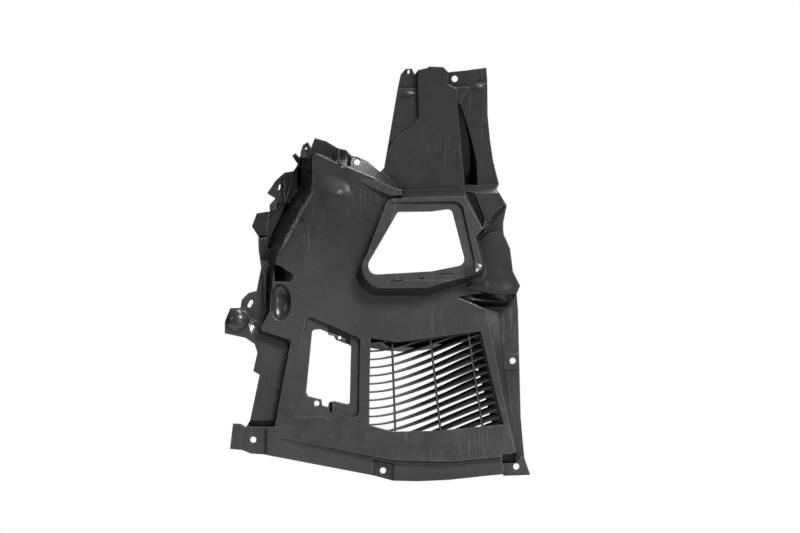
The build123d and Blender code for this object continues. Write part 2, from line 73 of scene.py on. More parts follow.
Colour = tuple[float, float, float, float]
Point = tuple[float, float, float]
Pair = tuple[float, float]
Zone = tuple[Point, Point]
Socket = bpy.types.NodeSocket

WHITE: Colour = (1.0, 1.0, 1.0, 1.0)


class Ray(Enum):
    """Kinds of light ray that the world answers with the plain backdrop."""

    CAMERA = "Is Camera Ray"
    GLOSSY = "Is Glossy Ray"
    TRANSMISSION = "Is Transmission Ray"


def link(name: str, data: bpy.types.ID) -> bpy.types.Object:
    """Puts a mesh, a lamp or a camera in the scene.

    Args:
        name: The object's name.
        data: What it shows.

    Returns:
        The object.
    """
    made = bpy.data.objects.new(name, data)
    bpy.context.scene.collection.objects.link(made)
    return made


def share(value: float, start: float, span: float) -> float:
    """Gives how far a value has come along a span, between 0 and 1."""
    return min(1.0, max(0.0, (value - start) / span))


@dataclass(frozen=True)
class Pattern:
    """A noise pattern, and the span of its values over which its marks come in."""

    per_metre: float
    detail: float = 2.0
    roughness: float = 0.5
    low: float = 0.0
    high: float = 1.0
    distortion: float = 0.0


class Wiring:
    """Builds one node tree, a node at a time."""

    MIX_COLOURS = slice(6, 8)
    MIX_RESULT = 2

    def __init__(self, tree: bpy.types.NodeTree) -> None:
        """Starts from an empty tree."""
        self.tree = tree
        tree.nodes.clear()

    def node(self, kind: str, settings: dict | None = None, **values: object) -> bpy.types.Node:
        """Adds one node.

        Args:
            kind: Blender's name of the node type.
            settings: Attributes to set on the node.
            **values: Input values by socket name, with underscores for spaces.

        Returns:
            The new node.
        """
        made = self.tree.nodes.new(kind)
        for name, value in (settings or {}).items():
            setattr(made, name, value)
        for name, value in values.items():
            made.inputs[name.replace("_", " ")].default_value = value
        return made

    def join(self, start: Socket, end: Socket) -> None:
        """Links an output to an input."""
        self.tree.links.new(start, end)

    def feed(self, ends: Iterable[Socket], values: Iterable[Socket | float | Colour]) -> None:
        """Gives each input what it follows or holds.

        Args:
            ends: The inputs.
            values: A socket or a plain value for each.
        """
        for end, value in zip(ends, values):
            if isinstance(value, Socket):
                self.join(value, end)
            else:
                end.default_value = value

    def math(self, operation: str, first: Socket | float, second: Socket | float) -> Socket:
        """Combines two numbers.

        Args:
            operation: Blender's name of the operation.
            first: A socket or a number.
            second: A socket or a number.

        Returns:
            The result's socket.
        """
        made = self.node("ShaderNodeMath", {"operation": operation})
        self.feed(made.inputs, (first, second))
        return made.outputs[0]

    def noise(self, place: Socket, pattern: Pattern) -> Socket:
        """Adds a noise pattern.

        Args:
            place: The coordinates to read it at.
            pattern: Its sizes.

        Returns:
            The pattern's value socket.
        """
        made = self.node("ShaderNodeTexNoise", None, Scale=pattern.per_metre,
                         Detail=pattern.detail, Roughness=pattern.roughness,
                         Distortion=pattern.distortion)
        self.join(place, made.inputs["Vector"])
        return made.outputs["Fac"]

    def ramp(self, value: Socket, low: float, high: float, low_to: float = 0.0,
             high_to: float = 1.0) -> Socket:
        """Stretches the span from low to high over another span, and clamps it there.

        Args:
            value: The number to stretch.
            low: Where the span starts.
            high: Where the span ends.
            low_to: What low becomes.
            high_to: What high becomes.

        Returns:
            The stretched value's socket.
        """
        made = self.node("ShaderNodeMapRange", {"interpolation_type": "SMOOTHSTEP"},
                         From_Min=low, From_Max=high, To_Min=low_to, To_Max=high_to)
        self.join(value, made.inputs["Value"])
        return made.outputs["Result"]

    def marks(self, place: Socket, pattern: Pattern) -> Socket:
        """Adds a noise pattern's marks, 1 in a mark and 0 beside it.

        Args:
            place: The coordinates to read it at.
            pattern: Its sizes and its span.

        Returns:
            The marks' socket.
        """
        return self.ramp(self.noise(place, pattern), pattern.low, pattern.high)

    def layer(self, under: Socket | Colour, over: Socket | Colour, amount: Socket) -> Socket:
        """Lays one colour over another.

        Args:
            under: The lower colour.
            over: The upper colour.
            amount: How much of the upper colour shows.

        Returns:
            The combined colour's socket.
        """
        made = self.node("ShaderNodeMix", {"data_type": "RGBA"})
        self.join(amount, made.inputs[0])
        self.feed(made.inputs[self.MIX_COLOURS], (under, over))
        return made.outputs[self.MIX_RESULT]


@dataclass(frozen=True)
class MouldedPlastic:
    """Black polypropylene as it leaves the mould, after handling, with painted edge highlights and
    recess shade.
    """

    name: str = "moulded_black_plastic"
    refraction: float = 1.49
    deep: Colour = (0.027, 0.027, 0.0275, 1.0)
    pale: Colour = (0.037, 0.037, 0.0375, 1.0)
    dust: Colour = (0.065, 0.064, 0.062, 1.0)
    # Paler tint for scratches, which are wear, and for edges, where it is part wear and part
    # painted highlight.
    rubbed_and_highlight: Colour = (0.12, 0.12, 0.122, 1.0)
    fluff: Colour = (0.3, 0.3, 0.295, 1.0)
    # Painted shade: the near-black colour laid into recesses and creases.
    recess_shade: Colour = (0.006, 0.006, 0.0062, 1.0)
    flow: Pattern = Pattern(9.0, 3.0, 0.55, 0.35, 0.7, 0.6)
    cloud: Pattern = Pattern(45.0, 4.0, 0.6, 0.5, 0.8)
    speck: Pattern = Pattern(500.0, 2.0, 0.7, 0.45, 0.7)
    fleck: Pattern = Pattern(375.0, 1.0, 0.5, 0.74, 0.78)
    grain: Pattern = Pattern(1500.0, 3.0, 0.6)
    streak: Pattern = Pattern(20.0, 3.0, 0.6, 0.62, 0.67)
    patch: Pattern = Pattern(14.0, 1.0, 0.5, 0.5, 0.6)
    streak_turns: tuple[Pair, ...] = ((0.5, 24.0), (-0.9, 18.0), (1.3, 30.0))
    streak_length: float = 0.8
    dust_share: float = 0.18
    fleck_share: float = 0.35
    scratch_share: float = 0.28
    edge_wear_and_highlight_share: float = 0.5
    recess_shade_reach: float = 0.02
    recess_shade_span: Pair = (0.45, 0.9)
    rough_span: Pair = (0.3, 0.75)
    gloss_rough: float = 0.24
    matt_rough: float = 0.36
    scratch_rough: float = 0.15
    grain_height: float = 0.00006
    bump_strength: float = 0.55
    grain_rise: float = 0.75
    cloud_rise: float = 0.6
    scratch_fall: float = 0.3
    edge_round: float = 0.0022
    edge_span: Pair = (0.99, 0.9)

    def material(self) -> bpy.types.Material:
        """Builds the finish.

        Returns:
            A material with grain, flow marks, dust, scratches, edges painted paler as wear and as
            highlight, and painted shade in the recesses.
        """
        made = bpy.data.materials.new(self.name)
        made.use_nodes = True
        wires = Wiring(made.node_tree)
        place = wires.node("ShaderNodeTexCoord").outputs["Object"]
        shader = wires.node("ShaderNodeBsdfPrincipled", None, IOR=self.refraction)
        surface = wires.node("ShaderNodeOutputMaterial").inputs["Surface"]
        wires.join(shader.outputs["BSDF"], surface)
        cloud = wires.noise(place, self.cloud)
        scratches = self._scratches(wires, place)
        wires.join(self._colour(wires, place, cloud, scratches), shader.inputs["Base Color"])
        rough = wires.ramp(cloud, *self.rough_span, self.gloss_rough, self.matt_rough)
        rough = wires.math("ADD", rough, wires.math("MULTIPLY", scratches, self.scratch_rough))
        wires.join(rough, shader.inputs["Roughness"])
        wires.join(self._relief(wires, place, cloud, scratches), shader.inputs["Normal"])
        return made

    def _colour(self, wires: Wiring, place: Socket, cloud: Socket, scratches: Socket) -> Socket:
        """Mixes the plastic's colour, with painted shade that darkens it in recesses and creases.

        Args:
            wires: The material's wiring.
            place: The coordinates of the patterns.
            cloud: The cloudy pattern that dust gathers in.
            scratches: Where the scratches are.

        Returns:
            The colour's socket.
        """
        colour = wires.layer(self.deep, self.pale, wires.marks(place, self.flow))
        film = wires.math("MULTIPLY", wires.ramp(cloud, self.cloud.low, self.cloud.high),
                          wires.marks(place, self.speck))
        # The edge layer paints a paler rim along every edge: partly handling wear, partly a
        # painted highlight.
        for tint, marks, amount in ((self.dust, film, self.dust_share),
                                    (self.fluff, wires.marks(place, self.fleck), self.fleck_share),
                                    (self.rubbed_and_highlight, scratches, self.scratch_share),
                                    (self.rubbed_and_highlight, self._worn_and_highlit_edges(wires), self.edge_wear_and_highlight_share)):
            colour = wires.layer(colour, tint, wires.math("MULTIPLY", marks, amount))
        # Painted shade: ambient occlusion darkens the colour towards near black in recesses and
        # creases.
        nearby = wires.node("ShaderNodeAmbientOcclusion", {"samples": 4},
                            Distance=self.recess_shade_reach)
        unshaded = wires.ramp(nearby.outputs["AO"], *self.recess_shade_span)
        return wires.layer(self.recess_shade, colour, unshaded)

    def _relief(self, wires: Wiring, place: Socket, cloud: Socket, scratches: Socket) -> Socket:
        """Raises the grain, sinks the scratches and rounds the edges.

        Args:
            wires: The material's wiring.
            place: The coordinates of the patterns.
            cloud: The cloudy pattern that the faces wave with.
            scratches: Where the scratches are.

        Returns:
            The surface direction's socket.
        """
        relief = wires.math(
            "ADD", wires.math("MULTIPLY", wires.noise(place, self.grain), self.grain_rise),
            wires.math("MULTIPLY", cloud, self.cloud_rise))
        relief = wires.math("SUBTRACT", relief,
                            wires.math("MULTIPLY", scratches, self.scratch_fall))
        bump = wires.node("ShaderNodeBump", None, Strength=self.bump_strength,
                          Distance=self.grain_height)
        wires.join(relief, bump.inputs["Height"])
        soft_edge = wires.node("ShaderNodeBevel", {"samples": 6}, Radius=self.edge_round)
        wires.join(soft_edge.outputs["Normal"], bump.inputs["Normal"])
        return bump.outputs["Normal"]

    def _scratches(self, wires: Wiring, place: Socket) -> Socket:
        """Draws long thin scratches, in patches and in a few directions.

        Args:
            wires: The material's wiring.
            place: The coordinates to draw them at.

        Returns:
            A socket that is 1 in a scratch and 0 beside it.
        """
        marks = []
        for turn, stretch in self.streak_turns:
            mapping = wires.node("ShaderNodeMapping", None, Rotation=(0.0, turn, 0.0),
                                 Scale=(stretch, 1.0, self.streak_length))
            wires.join(place, mapping.inputs["Vector"])
            marks.append(wires.marks(mapping.outputs["Vector"], self.streak))
        longest = wires.math("MAXIMUM", marks[0], wires.math("MAXIMUM", marks[1], marks[2]))
        return wires.math("MULTIPLY", longest, wires.marks(place, self.patch))

    def _worn_and_highlit_edges(self, wires: Wiring) -> Socket:
        """Finds the edges, which are painted paler, partly as handling wear and partly as a
        painted highlight.

        Args:
            wires: The material's wiring.

        Returns:
            A socket that is near 1 on edges and 0 on faces.
        """
        rounded = wires.node("ShaderNodeBevel", {"samples": 4}, Radius=self.edge_round)
        true = wires.node("ShaderNodeNewGeometry")
        lean = wires.node("ShaderNodeVectorMath", {"operation": "DOT_PRODUCT"})
        wires.join(rounded.outputs["Normal"], lean.inputs[0])
        wires.join(true.outputs["Normal"], lean.inputs[1])
        return wires.ramp(lean.outputs["Value"], *self.edge_span)


@dataclass(frozen=True)
class Arch:
    """The curve of the wheel arch that the main panel follows."""

    radius: float = 0.8
    low_z: float = 0.19
    low_height: float = -0.006

    def height(self, z: float, step: float = 0.0) -> float:
        """Finds how far the panel stands towards the wheel.

        Args:
            z: Height above the lower middle fixing hole.
            step: Distance behind the panel's face.

        Returns:
            The distance along -Y.
        """
        reach = self.radius + step
        return self.low_height + self.radius - math.sqrt(reach ** 2 - (z - self.low_z) ** 2)


@dataclass(frozen=True)
class Swell:
    """A soft rise or hollow in the panel, with an oval foot."""

    x: float
    z: float
    half_width: float
    half_height: float
    rise: float
    turn: float = 0.0

    def at(self, x: float, z: float) -> float:
        """Gives the rise at one point.

        Args:
            x: Place across the liner.
            z: Place up the liner.

        Returns:
            The rise towards the wheel, 0 outside the foot.
        """
        across, up = x - self.x, z - self.z
        cosine, sine = math.cos(self.turn), math.sin(self.turn)
        spread = (((across * cosine + up * sine) / self.half_width) ** 2
                  + ((up * cosine - across * sine) / self.half_height) ** 2)
        return self.rise * (1.0 - spread) ** 2 if spread < 1.0 else 0.0


@dataclass(frozen=True)
class Plug:
    """A small web that closes a hole to a blind mark, or narrows it to a slit."""

    x: float
    z: float
    height: float
    half_length: float
    half_width: float
    turn: float = 0.0
    lean_x: float = 0.0
    lean_z: float = 0.0
    slit: Pair | None = None
    points: int = 28

    def outline(self, half_length: float, half_width: float) -> list[Pair]:
        """Traces a rounded outline round the middle.

        Args:
            half_length: Half the longer side.
            half_width: Half the shorter side.

        Returns:
            Places across and up the liner.
        """
        cosine, sine = math.cos(self.turn), math.sin(self.turn)
        traced = []
        for index in range(self.points):
            angle = 2 * math.pi * index / self.points
            along = (half_length - half_width) * math.copysign(1.0, math.cos(angle))
            along += half_width * math.cos(angle)
            beside = half_width * math.sin(angle)
            traced.append((self.x + along * cosine - beside * sine,
                           self.z + along * sine + beside * cosine))
        return traced

    def add_to(self, shell: bmesh.types.BMesh, thick: float) -> None:
        """Builds the web in a mesh.

        Args:
            shell: The mesh that it joins.
            thick: How thick the web is.
        """
        traces = [self.outline(self.half_length, self.half_width)]
        if self.slit:
            traces.append(self.outline(self.slit[0] / 2, self.slit[1] / 2))
        rings = []
        for trace in traces:
            for depth in (0.0, thick):
                ring = []
                for x, z in trace:
                    height = self.height + self.lean_x * (x - self.x) + self.lean_z * (z - self.z)
                    ring.append(shell.verts.new((x, depth - height, z)))
                rings.append(ring)
        front, back, *inner = rings
        pairs = [(front, back)]
        if inner:
            slit_front, slit_back = inner
            pairs += [(slit_back, slit_front), (slit_front, front), (back, slit_back)]
        else:
            shell.faces.new(front)
            shell.faces.new(reversed(back))
        for first, second in pairs:
            for index in range(self.points):
                after = (index + 1) % self.points
                shell.faces.new((first[index], first[after], second[after], second[index]))


@dataclass
class Liner:
    """The liner itself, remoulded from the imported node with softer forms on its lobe."""

    name: str = "liner_moulding"
    node: str = "wheel_arch_liner"
    slot: str = "moulding"
    arch: Arch = field(default_factory=Arch)
    finish: MouldedPlastic = field(default_factory=MouldedPlastic)
    wall: float = 0.0025
    weld: float = 0.00001
    grid: float = 0.004
    lobe: Zone = ((-0.142, -1.0, 0.262), (-0.002, 1.0, 0.436))
    shoulder: Zone = ((0.088, -1.0, 0.204), (0.162, 1.0, 0.262))
    crown_low: Pair = (-0.1002, 0.3098)
    crown_high: Pair = (-0.0198, 0.3722)
    crown_middle: Pair = (-0.06, 0.351)
    crown_radius: float = 0.25
    crown_rise: float = 0.0016
    crown_match: float = 0.0003
    skin_match: float = 0.0002
    border_gap: float = 0.0004
    border_upright: float = 0.2
    edge_foot: Pair = (-0.1155, 0.304)
    edge_head: Pair = (-0.0892, 0.353)
    side_fall: float = 2.85
    side_drift: float = -1.355
    roll: float = 0.009
    roll_top: float = 0.366
    roll_ends: Pair = (0.02, 0.016)
    corner_start: float = 0.346
    corner_blend: float = 0.012
    corner_profile: tuple[Pair, ...] = (
        (-0.106, -0.048), (-0.102, -0.0344), (-0.098, -0.0199), (-0.094, 0.0031), (-0.09, 0.009),
        (-0.086, 0.0155))
    swells: tuple[Swell, ...] = (
        Swell(-0.0615, 0.3455, 0.024, 0.022, 0.0048),
        Swell(-0.07, 0.34, 0.055, 0.06, 0.0016, 0.4),
        Swell(0.1145, 0.2475, 0.015, 0.013, 0.0048),
        Swell(0.137, 0.226, 0.043, 0.011, 0.005, -0.02),
        Swell(0.137, 0.2105, 0.036, 0.0085, -0.0055, -0.12),
    )
    plugs: tuple[Plug, ...] = (
        Plug(0.0165, 0.2369, 0.0181, 0.0088, 0.0009, 0.07, -0.03, -0.1),
        Plug(0.048, 0.2401, 0.0169, 0.0038, 0.0009, 0.07, -0.03, -0.1),
        Plug(0.0789, 0.2456, 0.0154, 0.0088, 0.0009, 0.07, -0.03, -0.1),
        Plug(-0.1425, 0.225, -0.0215, 0.00153, 0.00153),
        Plug(-0.1303, 0.3545, -0.0446, 0.00377, 0.00377, 1.35, 0.0, 0.0, (0.0068, 0.0021)),
        Plug(0.0319, 0.4975, 0.0299, 0.0038, 0.0026, 1.4, 0.0, 0.372, (0.0046, 0.0028)),
    )
    plug_thick: float = 0.0011
    slope_reach: float = 0.0004
    edge_on: float = 0.05
    weak: float = 0.1

    def build(self) -> bpy.types.Object:
        """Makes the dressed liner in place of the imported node.

        Returns:
            The new piece.
        """
        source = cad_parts[self.node].data
        shell = bmesh.new()
        shell.from_mesh(source)
        bmesh.ops.remove_doubles(shell, verts=shell.verts, dist=self.weld)
        self._divide(shell, self.lobe, self._edge_cut())
        self._divide(shell, self.shoulder)
        ways = shell.loops.layers.float_vector.new("facing")
        self._copy_shading(shell, source, ways)
        self._settle(shell, ways)
        for plug in self.plugs:
            plug.add_to(shell, self.plug_thick)
        piece = link(self.name, self._mesh(shell, ways))
        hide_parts(self.node)
        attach(piece, "root")
        return piece

    def _mesh(self, shell: bmesh.types.BMesh, ways: bmesh.types.BMLayerItem) -> bpy.types.Mesh:
        """Turns the shell into a mesh that is shaded the way its corners face.

        Args:
            shell: The remoulded shell, which is freed.
            ways: The layer that holds each corner's direction, with none yet on new webs.

        Returns:
            The mesh, with the finish on it.
        """
        for face in shell.faces:
            face.smooth = True
            for corner in face.loops:
                if not corner[ways].length:
                    face.normal_update()
                    corner[ways] = face.normal
        facing = [corner[ways].normalized() for face in shell.faces for corner in face.loops]
        mesh = bpy.data.meshes.new(self.name)
        shell.to_mesh(mesh)
        shell.free()
        for spare in ("facing", "custom_normal"):
            if spare in mesh.attributes:
                mesh.attributes.remove(mesh.attributes[spare])
        mesh.normals_split_custom_set(facing)
        mesh.materials.clear()
        mesh.materials.append(self.finish.material())
        return mesh

    def _copy_shading(self, shell: bmesh.types.BMesh, source: bpy.types.Mesh,
                      ways: bmesh.types.BMLayerItem) -> None:
        """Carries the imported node's true shading over to the divided faces.

        Args:
            shell: The divided mesh.
            source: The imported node's mesh.
            ways: The layer that holds each corner's direction.
        """
        places = [vert.co for vert in source.vertices]
        corners = [face.vertices[:] for face in source.polygons]
        tree = BVHTree.FromPolygons(places, corners)
        shades = [corner.vector for corner in source.corner_normals]
        for face in shell.faces:
            nearest = tree.find_nearest(face.calc_center_median())[2]
            old_points = [places[index] for index in corners[nearest]]
            around = [shades[index] for index in source.polygons[nearest].loop_indices]
            for corner in face.loops:
                parts = poly_3d_calc(old_points, corner.vert.co)
                way = sum((shade * part for shade, part in zip(around, parts)), Vector())
                corner[ways] = way.normalized() if way.length > self.weak else face.normal

    def _facing(self, way: Vector, x: float, z: float, settled: bool) -> Vector:
        """Gives the way a softened surface faces at one point.

        Args:
            way: The way that it faced before.
            x: Place across the liner.
            z: Place up the liner.
            settled: Whether the surface was brought down to the panel.

        Returns:
            A vector of length 1.
        """
        if abs(way.y) < self.edge_on:
            return way
        near = self.slope_reach
        slopes = []
        for axis, (across, up) in enumerate(((near, 0.0), (0.0, near))):
            ahead, behind = (x + across, z + up), (x - across, z - up)
            slope = (self._rise(*ahead) - self._drop(*ahead)
                     - self._rise(*behind) + self._drop(*behind))
            if settled:
                slope += self._skin(*ahead, 0.0) - self._skin(*behind, 0.0)
            slopes.append(slope / (2 * near) + (0.0 if settled else way[axis * 2] / way.y))
        side = math.copysign(1.0, way.y)
        return Vector((slopes[0] * side, side, slopes[1] * side)).normalized()

    def _edge_cut(self) -> tuple[Vector, Vector]:
        """Gives the upright plane through the lobe's left edge, as a point and a normal."""
        (foot_x, foot_z), (head_x, head_z) = self.edge_foot, self.edge_head
        return Vector((foot_x, 0.0, foot_z)), Vector((head_z - foot_z, 0.0, foot_x - head_x))

    def _within(self, place: Vector, zone: Zone) -> bool:
        """Says whether a point lies in a zone."""
        return all(low <= value <= high for low, value, high in zip(zone[0], place, zone[1]))

    def _divide(self, shell: bmesh.types.BMesh, zone: Zone, *more: tuple[Vector, Vector]) -> None:
        """Cuts the faces of one zone into a fine grid, so that it can take soft forms.

        Args:
            shell: The liner's mesh.
            zone: The zone's lowest and highest corners.
            *more: Other planes that cut it, each a point and a normal.
        """
        cuts = list(more)
        for axis in (0, 2):
            normal = Vector([1.0 if index == axis else 0.0 for index in range(3)])
            for corner in zone:
                reaching = [face for face in shell.faces if self._reaches(face, zone)]
                self._cut(shell, reaching, normal * corner[axis], normal)
            start = zone[0][axis]
            count = int((zone[1][axis] - start) / self.grid)
            cuts += [(normal * (start + self.grid * (step + 0.5)), normal)
                     for step in range(count)]
        for point, normal in cuts:
            faces = [face for face in shell.faces if self._within(face.calc_center_median(), zone)]
            self._cut(shell, faces, point, normal)

    def _reaches(self, face: bmesh.types.BMFace, zone: Zone) -> bool:
        """Says whether any part of a face's box lies in a zone.

        Args:
            face: The face.
            zone: The zone's lowest and highest corners.

        Returns:
            True where the two meet.
        """
        for axis in range(3):
            places = [vert.co[axis] for vert in face.verts]
            if max(places) < zone[0][axis] or min(places) > zone[1][axis]:
                return False
        return True

    def _cut(self, shell: bmesh.types.BMesh, faces: list[bmesh.types.BMFace], point: Vector,
             normal: Vector) -> None:
        """Cuts faces along a plane.

        Args:
            shell: The liner's mesh.
            faces: The faces to cut.
            point: A point on the plane.
            normal: The way that the plane faces.
        """
        edges = {edge for face in faces for edge in face.edges}
        verts = {vert for face in faces for vert in face.verts}
        bmesh.ops.bisect_plane(shell, geom=[*faces, *edges, *verts], dist=self.weld,
                               plane_co=point, plane_no=normal)

    def _settle(self, shell: bmesh.types.BMesh, ways: bmesh.types.BMLayerItem) -> None:
        """Brings the crown's skin down to the panel and gives the zones their soft forms.

        Args:
            shell: The liner's mesh.
            ways: The layer that holds each corner's direction.
        """
        moved = {}
        slivers = [face for face in shell.faces
                   if abs(face.normal.y) < self.border_upright and self._on_border(face)]
        for vert in shell.verts:
            if not any(self._within(vert.co, zone) for zone in (self.lobe, self.shoulder)):
                continue
            x, z = vert.co.x, vert.co.z
            height, moved[vert] = self._lowered(x, z, -vert.co.y)
            vert.co.y = self._drop(x, z) - height - self._rise(x, z)
        for face in {face for vert in moved for face in vert.link_faces}:
            for corner in face.loops:
                if corner.vert in moved:
                    place = corner.vert.co
                    corner[ways] = self._facing(corner[ways], place.x, place.z,
                                                moved[corner.vert])
        bmesh.ops.delete(shell, geom=slivers, context="FACES_ONLY")

    def _lowered(self, x: float, z: float, height: float) -> tuple[float, bool]:
        """Lays one point of the crown's old skin down on the panel, and trues up the panel.

        Args:
            x: Place across the liner.
            z: Place up the liner.
            height: The distance along -Y.

        Returns:
            The new distance along -Y, and whether the point lay on the crown.
        """
        settled = False
        (left, low), (right, high) = self.crown_low, self.crown_high
        if left < x < right and low < z < high:
            middle_x, middle_z = self.crown_middle
            base = self.arch.height(middle_z) + self.crown_rise - self.crown_radius
            spread = (x - middle_x) ** 2 + (z - middle_z) ** 2
            for step in (0.0, self.wall):
                dome = math.sqrt((self.crown_radius - step) ** 2 - spread)
                if abs(height - base - dome) < self.crown_match:
                    height, settled = self._skin(x, z, step), True
                    break
        for skin in (self.arch.height(z), self.arch.height(z, self.wall)):
            if abs(height - skin) < self.skin_match:
                height = skin
        return height, settled

    def _on_border(self, face: bmesh.types.BMFace) -> bool:
        """Says whether a face stands on the border of the crown's old skin.

        Args:
            face: An upright face.

        Returns:
            True where it lies along the left, right or lower border.
        """
        (left, low), (right, high) = self.crown_low, self.crown_high
        places = [(vert.co.x, vert.co.z) for vert in face.verts]
        if not all(left < x < right and low < z < high for x, z in places):
            return False
        return any(all(abs(place[axis] - limit) < self.border_gap for place in places)
                   for axis, limit in ((0, left), (0, right), (1, low)))

    def _skin(self, x: float, z: float, step: float) -> float:
        """Gives the lobe's height under the crown, on its face or behind it.

        Args:
            x: Place across the liner.
            z: Place up the liner.
            step: Distance behind the face.

        Returns:
            The distance along -Y.
        """
        foot_x, foot_z = self.edge_foot
        side = (self.arch.height(foot_z) + self.side_fall * (x - foot_x)
                + self.side_drift * (z - foot_z))
        side += (share(z, self.corner_start, self.corner_blend)
                 * max(0.0, self._corner(x) - side))
        return min(self.arch.height(z, step), side - step * math.hypot(1.0, self.side_fall))

    def _corner(self, x: float) -> float:
        """Gives the height of the lobe's upper left corner, which falls away to the left.

        Args:
            x: Place across the liner.

        Returns:
            The distance along -Y.
        """
        for (left, low), (right, high) in zip(self.corner_profile, self.corner_profile[1:]):
            if x <= right:
                return low + (high - low) * (x - left) / (right - left)
        return self.corner_profile[-1][1]

    def _inside(self, x: float, z: float) -> float:
        """Measures how far a point lies inside the lobe's left edge.

        Args:
            x: Place across the liner.
            z: Place up the liner.

        Returns:
            The distance, below 0 outside the edge.
        """
        (foot_x, foot_z), (head_x, head_z) = self.edge_foot, self.edge_head
        along, up = head_x - foot_x, head_z - foot_z
        return ((x - foot_x) * up - (z - foot_z) * along) / math.hypot(along, up)

    def _drop(self, x: float, z: float) -> float:
        """Gives how far the rolled left edge of the lobe falls away.

        Args:
            x: Place across the liner.
            z: Place up the liner.

        Returns:
            The fall away from the wheel.
        """
        inside = self._inside(x, z)
        if inside >= self.roll or inside <= -self.roll:
            return 0.0
        foot_span, head_span = self.roll_ends
        ends = min(1.0, max(0.0, (z - self.lobe[0][2]) / foot_span),
                   max(0.0, (self.roll_top - z) / head_span))
        if inside >= 0:
            return (self.roll - inside) ** 2 / (2 * self.roll) * ends
        return (self.roll + inside) / 2 * ends

    def _rise(self, x: float, z: float) -> float:
        """Adds up the soft forms at one point."""
        return sum(swell.at(x, z) for swell in self.swells)


